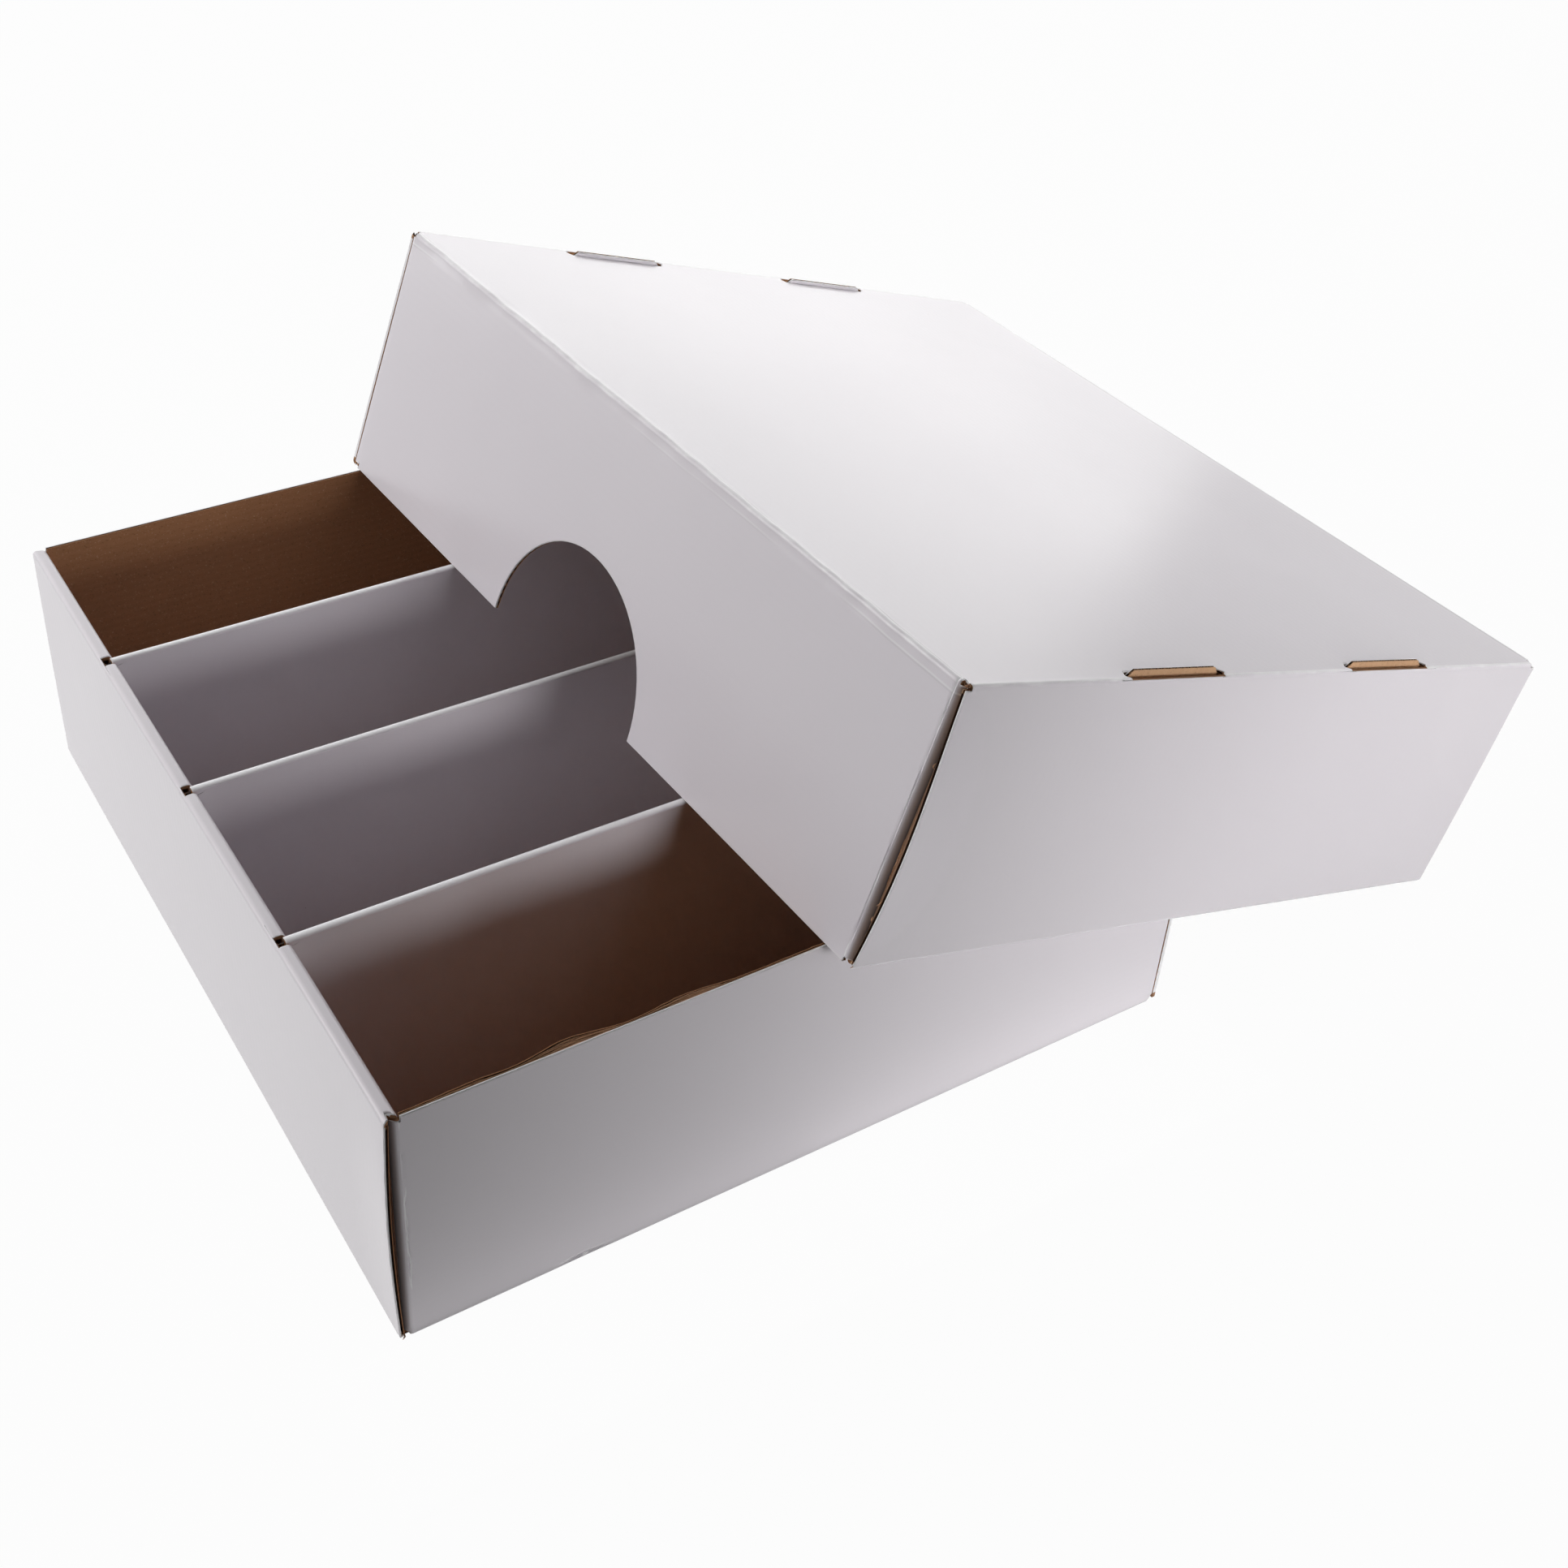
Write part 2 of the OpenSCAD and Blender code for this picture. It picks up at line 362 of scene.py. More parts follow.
def tray_layout(half_x, half_y, height):
    """Function that gives a point's place on the unfolded tray: along and across the flutes.
    The flutes run from rolled wall to rolled wall."""
    def unfolded(point, middle):
        side_x, side_y = math.copysign(1, middle.x), math.copysign(1, middle.y)
        in_x, in_y = half_x - abs(middle.x), half_y - abs(middle.y)
        half_gap = PLY_GAP / 2
        if in_x < BOARD + half_gap:
            return side_x * (half_x + point.z), point.y
        if in_y < BOARD + half_gap:
            return point.x, side_y * (half_y + point.z)
        if in_x < 2 * BOARD + PLY_GAP + half_gap and middle.z > BOARD + half_gap:
            return side_x * (half_x + half_y - abs(point.y)), side_y * (half_y + point.z)
        if in_x < 3 * BOARD + 3 * PLY_GAP and middle.z > BOARD + half_gap:
            return side_x * (half_x + 2 * height - point.z), point.y
        return point.x, point.y
    return unfolded


def touches(point, side):
    return any(face.material_index == side for face in point.link_faces)


def cut_strips(sheet):
    """Cut faces with coated paper along one side and kraft along the other, and the edges
    from side to side between them"""
    drawn = sheet.verts.layers.float_vector["drawn"]
    strips = {}
    for face in sheet.faces:
        if face.material_index != CUT or len(face.verts) > 8:
            continue
        rungs = []
        for edge in face.edges:
            if all(near.material_index == CUT for near in edge.link_faces):
                first, second = edge.verts
                if touches(first, KRAFT) and touches(second, COATED):
                    first, second = second, first
                width = (first[drawn] - second[drawn]).length
                straight = 0.8 * BOARD < width < 1.25 * BOARD
                if touches(first, COATED) and touches(second, KRAFT) and straight:
                    rungs.append((edge, first, second))
        if len(rungs) == 2:
            strips[face] = rungs
    return strips


def slit_at(half_x, half_y, height):
    """Function that tells the rolled walls' upright cut edges, which stand in the slits of the corners"""
    def in_slit(face, drawn):
        middle = sum((point[drawn] for point in face.verts), Vector()) / len(face.verts)
        return (abs(abs(middle.y) - half_y) < 0.0006 and half_x - abs(middle.x) < BOARD + PLY_GAP / 2
                and 0.003 < middle.z < height - 0.003)
    return in_slit


def fluting(name, sheet, placement, unfolded, hidden=None):
    """Corrugated paper that shows between the liners along a sheet's cut edges, but the hidden ones"""
    drawn = sheet.verts.layers.float_vector["drawn"]
    turn = placement.to_3x3()
    spots, points, thick, inward, phase, links = {}, [], [], [], [], []
    for face, rungs in cut_strips(sheet).items():
        if hidden and hidden(face, drawn):
            continue
        ends = []
        for edge, coated, kraft in rungs:
            if edge not in spots:
                spots[edge] = len(points)
                points.append(placement @ ((coated.co + kraft.co) / 2))
                thick.append(turn @ (kraft.co - coated.co).normalized())
                inward.append(turn @ -sum((near.normal for near in edge.link_faces), Vector()).normalized())
                middle = (coated[drawn] + kraft[drawn]) / 2
                phase.append(unfolded(middle, middle)[1])
            ends.append(spots[edge])
        links.append(ends)
    mesh = bpy.data.meshes.new(name)
    mesh.from_pydata(points, links, [])
    for title, kind, values in (
            ("thick", "FLOAT_VECTOR", thick), ("inward", "FLOAT_VECTOR", inward),
            ("phase", "FLOAT", phase)):
        layer = mesh.attributes.new(title, kind, "POINT")
        for item, value in zip(layer.data, values):
            if kind == "FLOAT":
                item.value = value
            else:
                item.vector = value
    piece = bpy.data.objects.new(name, mesh)
    scene.collection.objects.link(piece)
    maker = piece.modifiers.new("fluting", "NODES")
    maker.node_group = fluting_tree
    for title, value in (
            ("Pitch", FLUTE_PITCH), ("Height", (BOARD - 2 * LINER - FLUTE_PAPER) / 2), ("Depth", GROOVE),
            ("Paper", FLUTE_PAPER), ("Wander", 2.6), ("Material", board_papers[CUT])):
        maker[fluting_tree.interface.items_tree[title].identifier] = value
    as_plain_mesh(piece)
    return piece


def fluting_nodes():
    """Geometry Nodes tree that runs a wavy strip of paper along the middle of the cut edges"""
    tree = bpy.data.node_groups.new("fluting", "GeometryNodeTree")
    tree.interface.new_socket("Geometry", in_out="OUTPUT", socket_type="NodeSocketGeometry")
    tree.interface.new_socket("Edges", in_out="INPUT", socket_type="NodeSocketGeometry")
    for title in ("Pitch", "Height", "Depth", "Paper", "Wander"):
        tree.interface.new_socket(title, in_out="INPUT", socket_type="NodeSocketFloat")
    tree.interface.new_socket("Material", in_out="INPUT", socket_type="NodeSocketMaterial")
    start = Wire(tree)
    entry = tree.nodes.new("NodeGroupInput")
    given = {socket.name: Wire(tree, socket) for socket in entry.outputs if socket.name}
    line = start.add("GeometryNodeMeshToCurve", None, {0: given["Edges"]})
    line = start.add("GeometryNodeResampleCurve", {"mode": "LENGTH"},
                     {"Curve": line, "Length": given["Pitch"] * 0.1})

    def attribute(title, kind):
        return start.add("GeometryNodeInputNamedAttribute", {"data_type": kind}, {"Name": title})

    where = start.add("GeometryNodeInputPosition")
    drift = start.noise(where, 70.0, 3) * given["Wander"]
    wave = (attribute("phase", "FLOAT") * start.math("DIVIDE", 2 * math.pi, given["Pitch"]) + drift).sine()
    rise = start.add("ShaderNodeVectorMath", {"operation": "SCALE"},
                     {0: attribute("thick", "FLOAT_VECTOR"), "Scale": wave * given["Height"]})
    sink = start.add("ShaderNodeVectorMath", {"operation": "SCALE"},
                     {0: attribute("inward", "FLOAT_VECTOR"), "Scale": given["Depth"] * 0.55})
    move = start.add("ShaderNodeVectorMath", {"operation": "ADD"}, {0: rise, 1: sink})
    line = start.add("GeometryNodeSetPosition", None, {"Geometry": line, "Offset": move})
    line = start.add("GeometryNodeSetCurveNormal", {"mode": "FREE"},
                     {"Curve": line, "Normal": attribute("inward", "FLOAT_VECTOR")})
    section = start.add("GeometryNodeCurvePrimitiveQuadrilateral", {"mode": "RECTANGLE"},
                        {"Width": given["Depth"], "Height": given["Paper"]})
    strip = start.add("GeometryNodeCurveToMesh", None,
                      {"Curve": line, "Profile Curve": section, "Fill Caps": True})
    strip = start.add("GeometryNodeRealizeInstances", None, {0: strip})
    strip = start.add("GeometryNodeSetMaterial", None, {"Geometry": strip, "Material": given["Material"]})
    leave = tree.nodes.new("NodeGroupOutput")
    tree.links.new(strip.socket, leave.inputs[0])
    return tree


def as_plain_mesh(piece):
    """Turns what a piece's modifiers make into its own mesh"""
    shown = piece.evaluated_get(bpy.context.evaluated_depsgraph_get())
    mesh = bpy.data.meshes.new_from_object(shown)
    piece.modifiers.clear()
    piece.data = mesh


def open_cut_edges(sheet, deep=None, inner=KRAFT):
    """Sinks the middle of every cut edge between its liners, where the fluting then shows. The die
    drags the coated liner some way over the edge and bares its paper. Deep edges are dark slits, with
    the inner finish on their far side. The sunk faces are near-black paper, painted shade in the hollows."""
    drawn = sheet.verts.layers.float_vector["drawn"]
    strips = list(cut_strips(sheet))
    slits = {face for face in strips if deep and deep(face, drawn)}
    ring = bmesh.ops.inset_region(
        sheet, faces=strips, thickness=LINER, use_even_offset=True, use_boundary=True)["faces"]
    for face in ring:
        sides = {near.material_index for edge in face.edges for near in edge.link_faces}
        face.material_index = RIM_PAPER if COATED in sides else KRAFT if KRAFT in sides else CUT
        if face.material_index == KRAFT and deep and deep(face, drawn):
            face.material_index = inner
    dragged = {}
    for face in ring:
        if face.material_index == RIM_PAPER:
            for edge in face.edges:
                outer, inner = sorted(edge.verts, key=lambda point: not touches(point, COATED))
                if touches(outer, COATED) and not touches(inner, COATED):
                    dragged[inner] = inner.co - outer.co
    for point, way in dragged.items():
        point.co += way * DRAG
    shallow = [face for face in strips if face not in slits]
    for faces, depth in ((shallow, GROOVE), (list(slits), SLIT_DEPTH)):
        if faces:
            walls = bmesh.ops.inset_region(
                sheet, faces=faces, thickness=0.0, depth=-depth, use_boundary=True)["faces"]
            for face in faces + walls:
                face.material_index = HOLLOW_SHADE
    coated = [face for face in sheet.faces if face.material_index == COATED]
    lips = set(bmesh.ops.inset_region(
        sheet, faces=coated, thickness=LIP, use_even_offset=False, use_boundary=True)["faces"])
    rounded = {}
    for face in lips:
        face.material_index = RIM_PAPER
        for point in face.verts:
            if not touches(point, COATED):
                rounded[point] = face.normal.copy()
    for point, up in rounded.items():
        point.co -= up * LIP_DROP


def finish_sheet(name, sheet, placement, unfolded, scores, papers):
    """Turns a worked-up sheet into a piece in the object's frame. scores are the places of its
    score lines along and across the unfolded sheet. Those across end at the first one along."""
    drawn = sheet.verts.layers.float_vector["drawn"]
    flat = sheet.loops.layers.uv.new("sheet")
    fold = sheet.loops.layers.uv.new("fold")
    for face in sheet.faces:
        middle = sum((point[drawn] for point in face.verts), Vector()) / len(face.verts)
        centre = [abs(value) for value in unfolded(middle, middle)]
        nearest = [min(lines, key=lambda line: abs(value - line))
                   for lines, value in zip(scores, centre)]
        if centre[0] > scores[0][0]:
            nearest[1] += SWITCH_OFF
        for corner in face.loops:
            corner[flat].uv = unfolded(corner.vert[drawn], middle)
            corner[fold].uv = [abs(value) - line for value, line in zip(corner[flat].uv, nearest)]
        face.smooth = True
    sheet.normal_update()
    for edge in sheet.edges:
        edge.smooth = edge.calc_face_angle(math.pi) < math.radians(32)
    sheet.transform(placement)
    mesh = bpy.data.meshes.new(name)
    sheet.to_mesh(mesh)
    sheet.free()
    for finish in papers:
        mesh.materials.append(finish)
    piece = bpy.data.objects.new(name, mesh)
    scene.collection.objects.link(piece)
    even = piece.modifiers.new("even", "WEIGHTED_NORMAL")
    even.keep_sharp = True
    even.weight = 90
    as_plain_mesh(piece)
    return piece


def shred(torn, line, width, lean):
    """Adds one torn fibre: a thin three-sided strip along a line of points, pointed at its ends"""
    rings = []
    for i, point in enumerate(line):
        half = width / 2 * (0.15 + 0.85 * math.sin(math.pi * i / (len(line) - 1)))
        ahead = (line[min(i + 1, len(line) - 1)] - line[max(i - 1, 0)]).normalized()
        side = ahead.cross(lean).normalized() * half
        rings.append([torn.verts.new(point + way) for way in (side, -side, side.cross(ahead) * 0.5)])
    for first, second in zip(rings, rings[1:]):
        for i in range(3):
            torn.faces.new((first[i], first[(i + 1) % 3], second[(i + 1) % 3], second[i]))
    torn.faces.new(rings[0])
    torn.faces.new(rings[-1])


def finish_shreds(name, torn):
    """Turns the torn fibres of a sheet into a piece"""
    bmesh.ops.recalc_face_normals(torn, faces=torn.faces)
    mesh = bpy.data.meshes.new(name)
    torn.to_mesh(mesh)
    torn.free()
    mesh.materials.append(torn_fibre)
    piece = bpy.data.objects.new(name, mesh)
    scene.collection.objects.link(piece)
    return piece


fluting_tree = fluting_nodes()
upright = Matrix.Identity(4)
base_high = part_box("base_tray")[1]
base_half_x, base_half_y, base_top = base_high.x, base_high.y, base_high.z
base_layout = tray_layout(base_half_x, base_half_y, base_top)


def bump(value, low, peak, high):
    """0 outside low and high, 1 at the peak"""
    return ease(value, low, peak) - ease(value, peak, high)


def soften_corner(place, half_x, half_y):
    """The near corner's upright crease is broken in: a slack curve with a sharp, glinting edge"""
    from_end, in_y = half_x - abs(place.x), half_y - abs(place.y)
    if in_y > 1.2 * BOARD or from_end > 0.008:
        return 0.0
    along = Vector((place.x * 3, place.y * 3, abs(place.z)))
    wrinkle = max(0.0, 0.00014 + noise.noise(along * 55) * 0.0009 + noise.noise(along * 260) * 0.0003)
    slack = 0.0021 * (1 - ease(from_end, 0.0012, 0.0043))
    near_corner = 1.0 if place.x < 0 and place.y < 0 else 0.1
    return (slack - wrinkle * bump(from_end, 0.0041, 0.0045, 0.005)) * near_corner


def square_corner(place, half_x, half_y):
    """The far corner's upright crease is pressed square against the rolled wall"""
    if place.x < 0 or place.y > 0 or abs(place.z) < 0.002:
        return Vector()
    radius = 0.0019  # a little more than the crease's own
    to_end = radius - (half_x - place.x - BOARD - PLY_GAP)
    to_face = radius - (half_y + place.y)
    if not (0 < to_end <= radius + 1e-5 and 0 < to_face <= radius + 1e-5):
        return Vector()
    stretch = math.hypot(to_end, to_face) / max(to_end, to_face) - 1
    return Vector((to_end, -to_face, 0)) * stretch


def peel_at(x):
    """How far the inner liner has come away from the front wall's rim"""
    peel = 0.0022 * bump(x, -0.109, -0.091, -0.068) + 0.0014 * bump(x, -0.067, -0.05, -0.034)
    peel += 0.0008 * bump(x, -0.139, -0.121, -0.109)
    rough = 0.00035 * noise.noise(Vector((x * 60, 7, 0))) + 0.0002 * noise.noise(Vector((x * 500, 3, 0)))
    return peel + rough


def base_bend(place):
    """The near corner's edge stands off, the front wall's inner liner is peeled from its rim in
    three places, and its lower crease is crushed flat for a short stretch"""
    move = sway(place, 0.00018, 0.13, 3.0)
    in_x, in_y = base_half_x - abs(place.x), base_half_y - abs(place.y)
    if in_x < BOARD + PLY_GAP / 2:
        near_end = ease(-in_y, -0.022, 0.002) * (1.0 if place.x < 0 and place.y < 0 else 0.12)
        belly = math.sin(math.pi * min(1.0, max(0.0, place.z / base_top)))
        move.x += math.copysign(0.0014 * near_end * belly, place.x)
    else:
        move.y -= math.copysign(soften_corner(place, base_half_x, base_half_y), place.y)
        move += square_corner(place, base_half_x, base_half_y)
    if place.y < 0 and in_y < 1.2 * BOARD:
        if in_y > 0.5 * BOARD:
            peel = peel_at(place.x) * ease(place.z, base_top - 0.007, base_top)
            move.y += peel
            move.z += 0.1 * peel
        crumple = bump(place.x, -0.096, -0.086, -0.073) * bump(place.z, 0.0002, 0.0017, 0.0036)
        move.y += 0.001 * crumple * (1 + 0.6 * noise.noise(Vector((place.x * 300, place.z * 300, 5))))
    return move


def press_shut(sheet, in_slit):
    """Covers the slit at the front wall's far corner with the coated liner's paper"""
    drawn = sheet.verts.layers.float_vector["drawn"]
    for face in sheet.faces:
        middle = face.calc_center_median()
        if middle.x > 0 and middle.y < 0 and face.material_index == CUT and in_slit(face, drawn):
            face.material_index = RIM_PAPER


def near_end(middle):
    return base_half_x - abs(middle.x) < 0.008 and base_half_y - abs(middle.y) < 1.2 * BOARD


def near_peel(middle):
    return middle.y < -base_half_y + 1.2 * BOARD and middle.z > base_top - 0.009 and -0.15 < middle.x < 0.0


def near_flat(middle):
    return middle.y < -base_half_y + 0.004 and middle.z < 0.005 and -0.105 < middle.x < -0.065


corner_insets = (0.0018, 0.0021, 0.0024, 0.003, 0.0036, 0.0041, 0.0045, 0.005, 0.006)
base_sheet = open_sheet("base_tray", upright, Vector((0, 0, -1)))
slice_sheet(base_sheet, "x", steps(-base_half_x + 0.006, base_half_x - 0.006, 0.012))
slice_sheet(base_sheet, "y", steps(-base_half_y + 0.006, base_half_y - 0.006, 0.012))
slice_sheet(base_sheet, "z", steps(0.004, base_top - 0.004, 0.011))
for side in (-1, 1):
    slice_sheet(base_sheet, "x", [side * (base_half_x - inset) for inset in corner_insets], near_end)
slice_sheet(base_sheet, "z", steps(0.005, base_top - 0.003, 0.0025), near_end)
slice_sheet(base_sheet, "z", [base_top - 0.007, base_top - 0.0045, base_top - 0.0022], near_peel)
slice_sheet(base_sheet, "x", steps(-0.14, -0.002, 0.0025), near_peel)
slice_sheet(base_sheet, "x", steps(-0.098, -0.07, 0.0016), near_flat)
slice_sheet(base_sheet, "z", steps(0.0012, 0.0036, 0.0006), near_flat)
remember_flat(base_sheet)
bend(base_sheet, base_bend)
base_slit = slit_at(base_half_x, base_half_y, base_top)
press_shut(base_sheet, base_slit)
base_fluting = fluting("base_tray_fluting", base_sheet, upright, base_layout, base_slit)
open_cut_edges(base_sheet, base_slit)
base_scores = ((base_half_x,), (base_half_y + SWITCH_OFF,))
base_tray = finish_sheet("base_tray_board", base_sheet, upright, base_layout, base_scores, board_papers)
torn_fibre = cut_paper("torn_fibre", (0.70, 0.42, 0.26, 1), (0.34, 0.17, 0.095, 1))
torn = bmesh.new()
dice = random.Random(5)
for low, high, count in ((-0.139, -0.107, 8), (-0.109, -0.068, 19), (-0.067, -0.034, 12)):
    for i in range(count):
        share = (i + 0.5) / count
        start_x = dice.uniform(low, low + (high - low) * 0.45)
        end_x = dice.uniform(start_x + (high - low) * 0.3, high)
        line = []
        for x in steps(start_x, end_x, 0.0016):
            across = LINER * 2.2 + share * (BOARD - LINER * 2.6 + max(0.0, peel_at(x)))
            across += 0.0001 * noise.noise(Vector((x * 400, i, 0)))
            drop = 0.0002 + 0.0003 * noise.noise(Vector((x * 150, i, 4)))
            line.append(Vector((x, -base_half_y + across, base_top - drop)))
        shred(torn, line, dice.uniform(0.0002, 0.00048), Vector((0, dice.uniform(-1, 1), 1)).normalized())
corner = Vector((-base_half_x + 0.0009, -base_half_y + 0.0004, 0.0))
for i in range(3):
    shred(torn, [corner + Vector((0.0003 * i, -0.0008 * math.sin(step / 2), 0.0005 * step + 0.0003 * i))
                 for step in range(7)], 0.0004, Vector((1, 0.3 * i, 0)).normalized())
base_shreds = finish_shreds("base_tray_shreds", torn)
for piece in (base_tray, base_fluting, base_shreds):
    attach(piece, "root")
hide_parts("base_tray")

# Dividers
# Each is one sheet folded double over its top, coated side out, so that a flattened fold shows.
# Its ears drop into the slots of the rolled walls, and its lower edges stand on the floor.
for node in ("divider_rear", "divider_middle", "divider_front"):
    low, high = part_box(node)

    def divider_layout(point, middle):
        return point.z, point.x

    def divider_bend(place):
        below = high.z - place.z
        lift = 0.6 * min(below, 0.0015) * (1 - ease(below, 0.0015, 0.0046))
        return sway(place, 0.00018, 0.11, place.y * 40) + Vector((0, 0, max(0.0, lift)))

    sheet = open_sheet(node, upright, Vector((0, -1, 0)))
    slice_sheet(sheet, "x", steps(low.x + 0.006, high.x - 0.006, 0.012))
    slice_sheet(sheet, "z", steps(low.z + 0.004, high.z - 0.0048, 0.012))
    slice_sheet(sheet, "z", steps(high.z - 0.0044, high.z - 0.0016, 0.0007))
    remember_flat(sheet)
    bend(sheet, divider_bend)
    strip = fluting(node + "_fluting", sheet, upright, divider_layout)
    open_cut_edges(sheet)
    divider_scores = ((high.z,), (high.x + SWITCH_OFF,))
    board = finish_sheet(node + "_board", sheet, upright, divider_layout, divider_scores, board_papers)
    for piece in (board, strip):
        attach(piece, "root")
    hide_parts(node)

# Lid
# A second tray of the same make, turned over, with a half-round finger cut-out in each single
# wall. One end stands on the base's rim and the other on the table.
lid_faces = [face for face in frame["nodes"]["lid"].data.polygons if face.normal.z > 0.5]
lid_top = max(lid_faces, key=lambda face: face.area)
lid_up = lid_top.normal.copy()
lid_down_slope = (Vector((0, 0, -1)) + lid_up * lid_up.z).normalized()
lid_axes = Matrix((lid_down_slope.cross(-lid_up), lid_down_slope, -lid_up))
lid_points = [lid_axes @ point.co for point in frame["nodes"]["lid"].data.vertices]
lid_half_x = (max(point.x for point in lid_points) - min(point.x for point in lid_points)) / 2
lid_half_y = (max(point.y for point in lid_points) - min(point.y for point in lid_points)) / 2
lid_face_z = (lid_axes @ lid_top.center).z
lid_height = max(point.z for point in lid_points) - lid_face_z
lid_origin = Vector((
    max(point.x for point in lid_points) - lid_half_x,
    max(point.y for point in lid_points) - lid_half_y,
    lid_face_z))
lid_place = Matrix.Translation(lid_axes.transposed() @ lid_origin) @ lid_axes.transposed().to_4x4()
lid_layout = tray_layout(lid_half_x, lid_half_y, lid_height)
SHARPENING = 0.00036  # how far the top panel's creases are pressed towards a sharp edge


def lid_bend(place):
    """The raised end's crease is crushed, and the rolled wall's edge stands off at the near corner"""
    move = sway(place, 0.00022, 0.14, 11.0)
    in_x, in_y = lid_half_x - abs(place.x), lid_half_y - abs(place.y)
    depth = min(1.0, max(0.0, place.z / lid_height))
    if in_x < BOARD + PLY_GAP / 2:
        near_end = ease(-in_y, -0.016, 0.002) * (1.0 if place.x < 0 and place.y < 0 else 0.12)
        move.x += math.copysign(0.0026 * near_end * math.sin(math.pi * depth ** 1.25), place.x)
    else:
        move.y -= math.copysign(soften_corner(place, lid_half_x, lid_half_y), place.y)
        move += square_corner(place, lid_half_x, lid_half_y)
    out_x = Vector((math.copysign(1, place.x), 0, -1))
    out_y = Vector((0, math.copysign(1, place.y), -1))
    for inset, way in ((in_x, out_x), (in_y, out_y)):
        move += way * SHARPENING * (1 - ease(place.z, 0, 0.0024)) * (1 - ease(inset, 0, 0.0024))
    if place.y < 0 and in_x > 2 * BOARD:
        crush = (1 - ease(place.z, 0.0005, 0.006)) * (1 - ease(in_y, 0.0005, 0.006))
        along = Vector((place.x, 0, 0))
        dent = noise.noise(along * 38 + Vector((0, 4, 0))) + 0.6 * noise.noise(along * 110)
        move.y += crush * 0.00055 * dent
        move.z += crush * 0.0004 * noise.noise(along * 55 + Vector((0, 9, 0)))
    return move


def near_lid_end(middle):
    return lid_half_x - abs(middle.x) < 0.008 and lid_half_y - abs(middle.y) < 1.2 * BOARD


def near_crush(middle):
    return middle.y < -lid_half_y + 0.007 and middle.z < 0.007


lid_sheet = open_sheet("lid", lid_place, Vector((0, 0, -1)))
slice_sheet(lid_sheet, "x", steps(-lid_half_x + 0.006, lid_half_x - 0.006, 0.012))
slice_sheet(lid_sheet, "y", steps(-lid_half_y + 0.006, lid_half_y - 0.006, 0.012))
slice_sheet(lid_sheet, "z", steps(0.006, lid_height - 0.004, 0.011))
slice_sheet(lid_sheet, "y", steps(-lid_half_y + 0.002, -lid_half_y + 0.005, 0.001), near_crush)
slice_sheet(lid_sheet, "z", steps(0.002, 0.005, 0.001), near_crush)
slice_sheet(lid_sheet, "x", steps(-lid_half_x + 0.007, lid_half_x - 0.007, 0.003), near_crush)
for side in (-1, 1):
    slice_sheet(lid_sheet, "x", [side * (lid_half_x - inset) for inset in corner_insets], near_lid_end)
slice_sheet(lid_sheet, "z", steps(0.005, lid_height - 0.003, 0.0025), near_lid_end)
remember_flat(lid_sheet)
bend(lid_sheet, lid_bend)
lid_slit = slit_at(lid_half_x, lid_half_y, lid_height)
press_shut(lid_sheet, lid_slit)
lid_fluting = fluting("lid_fluting", lid_sheet, lid_place, lid_layout, lid_slit)
# The kraft on the far side of the lid's slits takes the near-black paper too: painted shade.
open_cut_edges(lid_sheet, lid_slit, HOLLOW_SHADE)
lid_scores = ((lid_half_x, lid_half_x + lid_height), (lid_half_y,))
# The lid's kraft side is a paler copy of the base's kraft liner: painted light.
lid_papers = list(board_papers)
lid_papers[KRAFT] = kraft_paper("kraft_liner_painted_lit", (0.72, 0.46, 0.28, 1), (0.56, 0.33, 0.18, 1))
lid = finish_sheet("lid_board", lid_sheet, lid_place, lid_layout, lid_scores, lid_papers)
torn = bmesh.new()
for depth, length, curl in (
        (0.27, 0.0026, 0.9), (0.745, 0.003, -0.7), (0.81, 0.0022, 0.5), (0.6, 0.016, 0.06)):
    foot = Vector((-lid_half_x + 0.0002, -lid_half_y - 0.0001, depth * lid_height))
    line = []
    for step in range(9):
        share = step / 8
        line.append(lid_place @ (foot + Vector((
            -0.0004 * math.sin(share * 3), -0.0012 * curl * math.sin(share * 4), length * (share - 0.5)))))
    shred(torn, line, 0.0005, lid_up)
for i in range(9):
    turn = i * 0.7
    foot = Vector((
        -lid_half_x + 0.0012 + 0.0004 * math.cos(turn),
        -lid_half_y + 0.0012 + 0.0007 * math.sin(turn), 0.0007))
    line = []
    for share in steps(-0.5, 0.5, 0.2):
        line.append(lid_place @ (foot + Vector((
            0.0016 * share * math.cos(turn * 2), 0.0016 * share * math.sin(turn * 3),
            0.0008 * share * (1 - share)))))
    shred(torn, line, 0.0004, lid_up)
lid_shreds = finish_shreds("lid_shreds", torn)
for piece in (lid, lid_fluting, lid_shreds):
    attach(piece, "root")
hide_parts("lid")

# Table
# A plain white table top that the camera sees as white, with the box's shadow on it.
def seen_directly(start):
    """1 for what the camera sees, straight or in a shine, and 0 for the light on matt surfaces"""
    path = start.add("ShaderNodeLightPath")
    ways = [Wire(start.tree, path.socket.node.outputs[way])
            for way in ("Is Camera Ray", "Is Glossy Ray", "Is Transmission Ray")]
    return start.math("MAXIMUM", start.math("MAXIMUM", ways[0], ways[1]), ways[2])


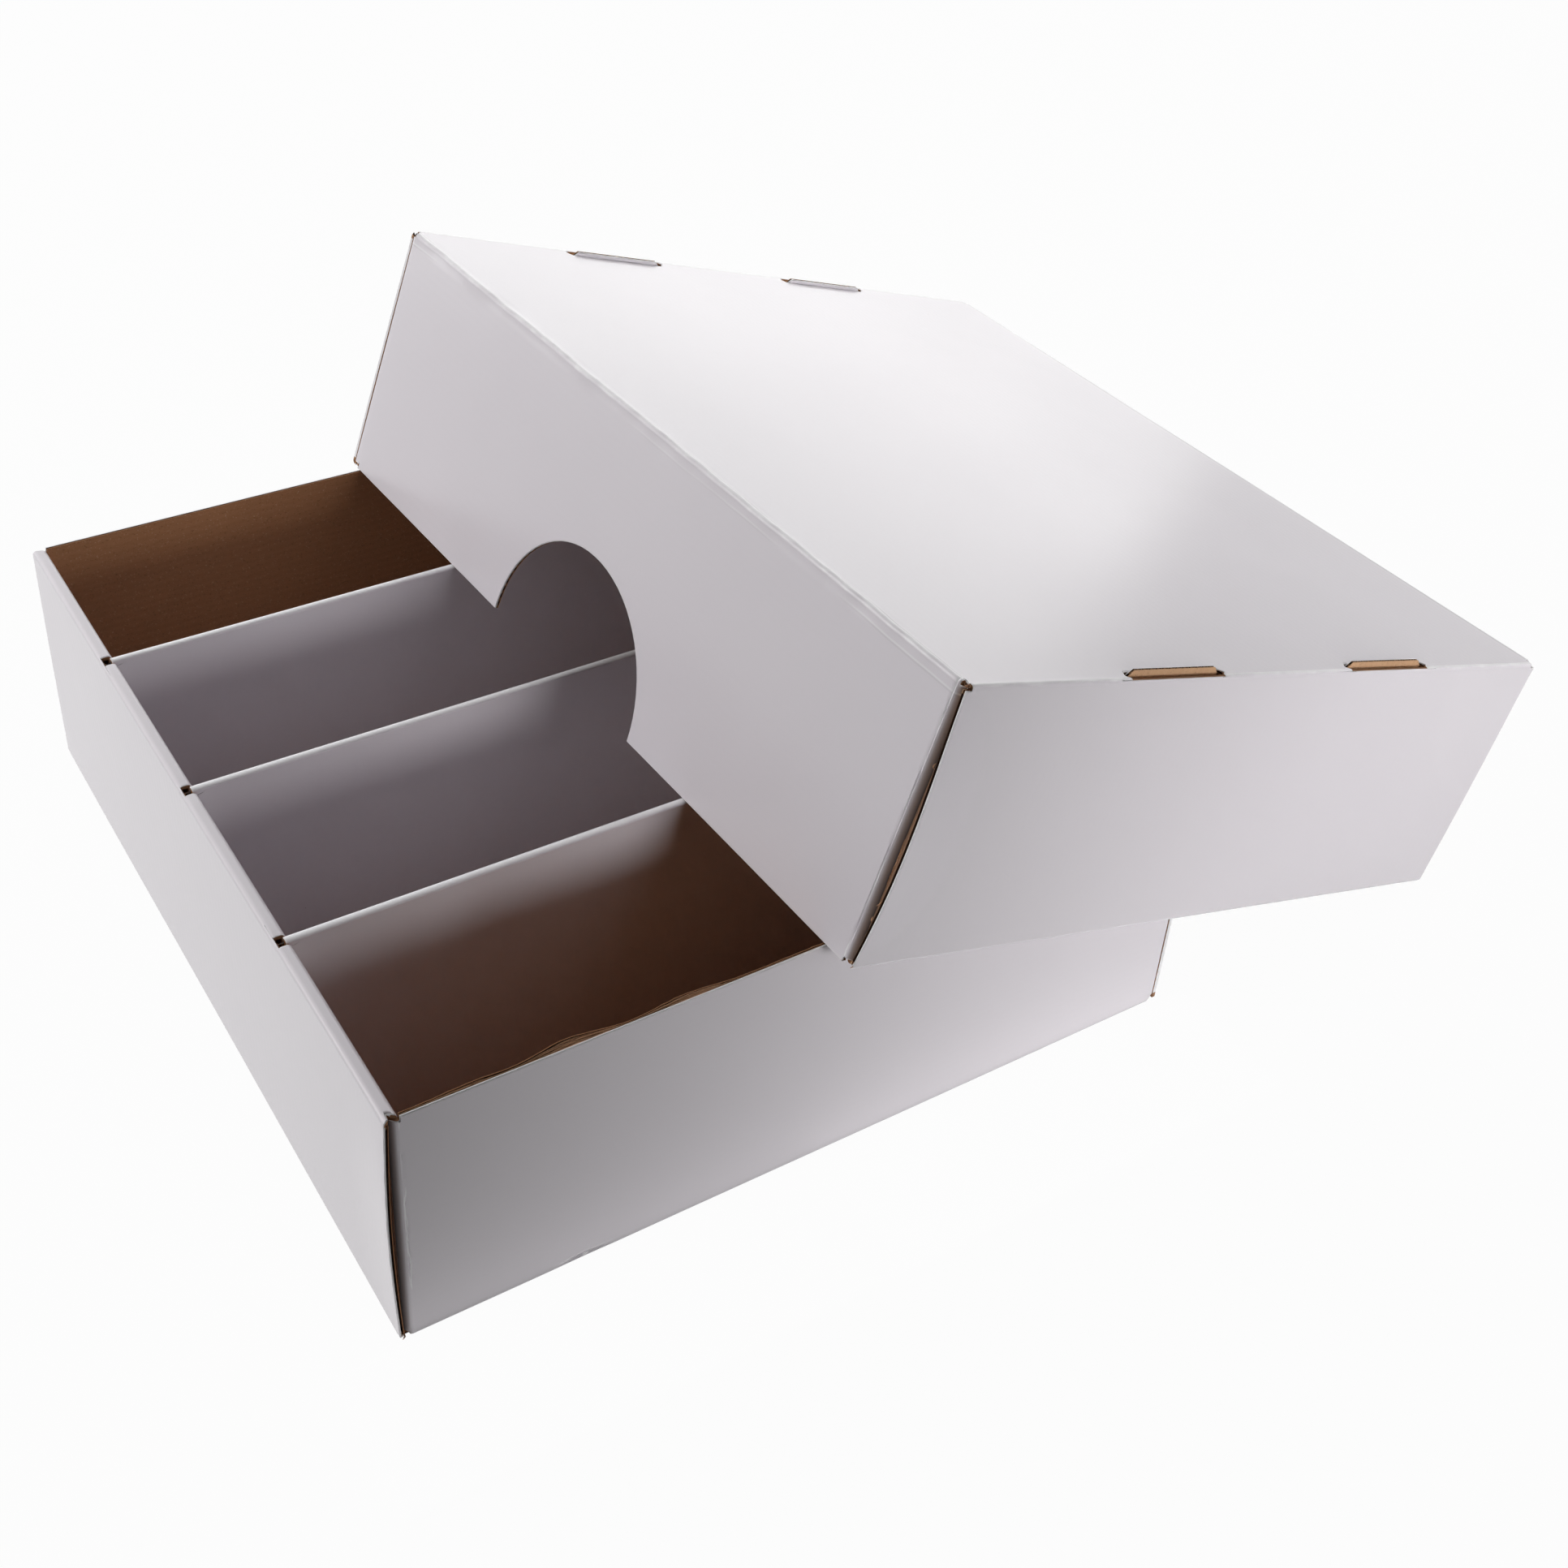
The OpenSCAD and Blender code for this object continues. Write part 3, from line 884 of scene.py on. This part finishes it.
table_mesh = bpy.data.meshes.new("table")
reach, table_z = 4.0, -0.0005
table_mesh.from_pydata(
    [(-reach, -reach, table_z), (reach, -reach, table_z), (reach, reach, table_z),
     (-reach, reach, table_z)], [], [(0, 1, 2, 3)])
table = bpy.data.objects.new("table", table_mesh)
scene.collection.objects.link(table)
table_white = bpy.data.materials.new("table_white")
table_white.use_nodes = True
table_tree = table_white.node_tree
table_tree.nodes.clear()
start = Wire(table_tree)
seen = seen_directly(start)
TABLE_GREY = (0.4, 0.4, 0.4, 1)
matt = start.add("ShaderNodeBsdfDiffuse", None, {"Color": TABLE_GREY})
glow = start.add("ShaderNodeEmission", None, {"Color": (1, 1, 1, 1), "Strength": 1.0})
top = start.add("ShaderNodeMixShader", None, {0: seen * 0.97, 1: matt, 2: glow})
table_tree.links.new(top.socket, table_tree.nodes.new("ShaderNodeOutputMaterial").inputs[0])
table_mesh.materials.append(table_white)

# Light
# Soft studio light from both sides. A white card behind the box shines in the lid's glossy top,
# and it ends where the photograph's reflection on the lid ends. Two faint strips on the table
# light the foot of the base's front wall.
world = bpy.data.worlds.new("studio")
world.use_nodes = True
scene.world = world
sky = world.node_tree.nodes["Background"]
sky.inputs["Color"].default_value = (1, 1, 1, 1)
world.node_tree.links.new(seen_directly(Wire(world.node_tree)).socket, sky.inputs["Strength"])


def glowing_card(name, corners, strength):
    """Card of the table's grey that gives light and that the camera doesn't see"""
    mesh = bpy.data.meshes.new(name)
    mesh.from_pydata(corners, [], [(0, 1, 2, 3)])
    finish = bpy.data.materials.new(name)
    finish.use_nodes = True
    shader = finish.node_tree.nodes["Principled BSDF"]
    shader.inputs["Base Color"].default_value = TABLE_GREY
    shader.inputs["Specular IOR Level"].default_value = 0.0
    shader.inputs["Emission Color"].default_value = (1, 1, 1, 1)
    shader.inputs["Emission Strength"].default_value = strength
    mesh.materials.append(finish)
    made = bpy.data.objects.new(name, mesh)
    made.visible_camera = False
    scene.collection.objects.link(made)
    return made


glowing_card("card", [(-2.5, 1.6, 0.0), (2.42, 1.6, 0.0), (2.42, 1.6, 2.0), (-2.5, 1.6, 2.0)], 2.29)
near, far, fill_z = -0.215, -0.162, 0.001
for name, left, right, strength in (("fill_left", -0.17, 0.0, 0.44), ("fill_right", 0.0, 0.16, 0.57)):
    fill = glowing_card(
        name, [(left, near, fill_z), (right, near, fill_z), (right, far, fill_z), (left, far, fill_z)],
        strength)
    fill.visible_glossy = False


def softbox(name, place, target, size, watts, spread_angle=180):
    data = bpy.data.lights.new(name, "AREA")
    data.size = size
    data.energy = watts
    data.spread = math.radians(spread_angle)
    lamp = bpy.data.objects.new(name, data)
    lamp.location = place
    lamp.rotation_euler = (Vector(target) - Vector(place)).to_track_quat("-Z", "Y").to_euler()
    scene.collection.objects.link(lamp)


softbox("left_softbox", (-2.0, 0.8, 0.9), (0, 0.1, 0.1), 1.5, 17.6)
softbox("right_softbox", (1.3, -0.2, 0.6), (0, 0, 0.1), 1.0, 2.5)
softbox("front_beam", (0.25, -1.3, 0.3), (0.22, -0.15, 0.1), 0.3, 0.41, 40)
softbox("corner_beam", (1.2, -1.3, 0.4), (0.35, -0.15, 0.1), 0.3, 0.13, 22)
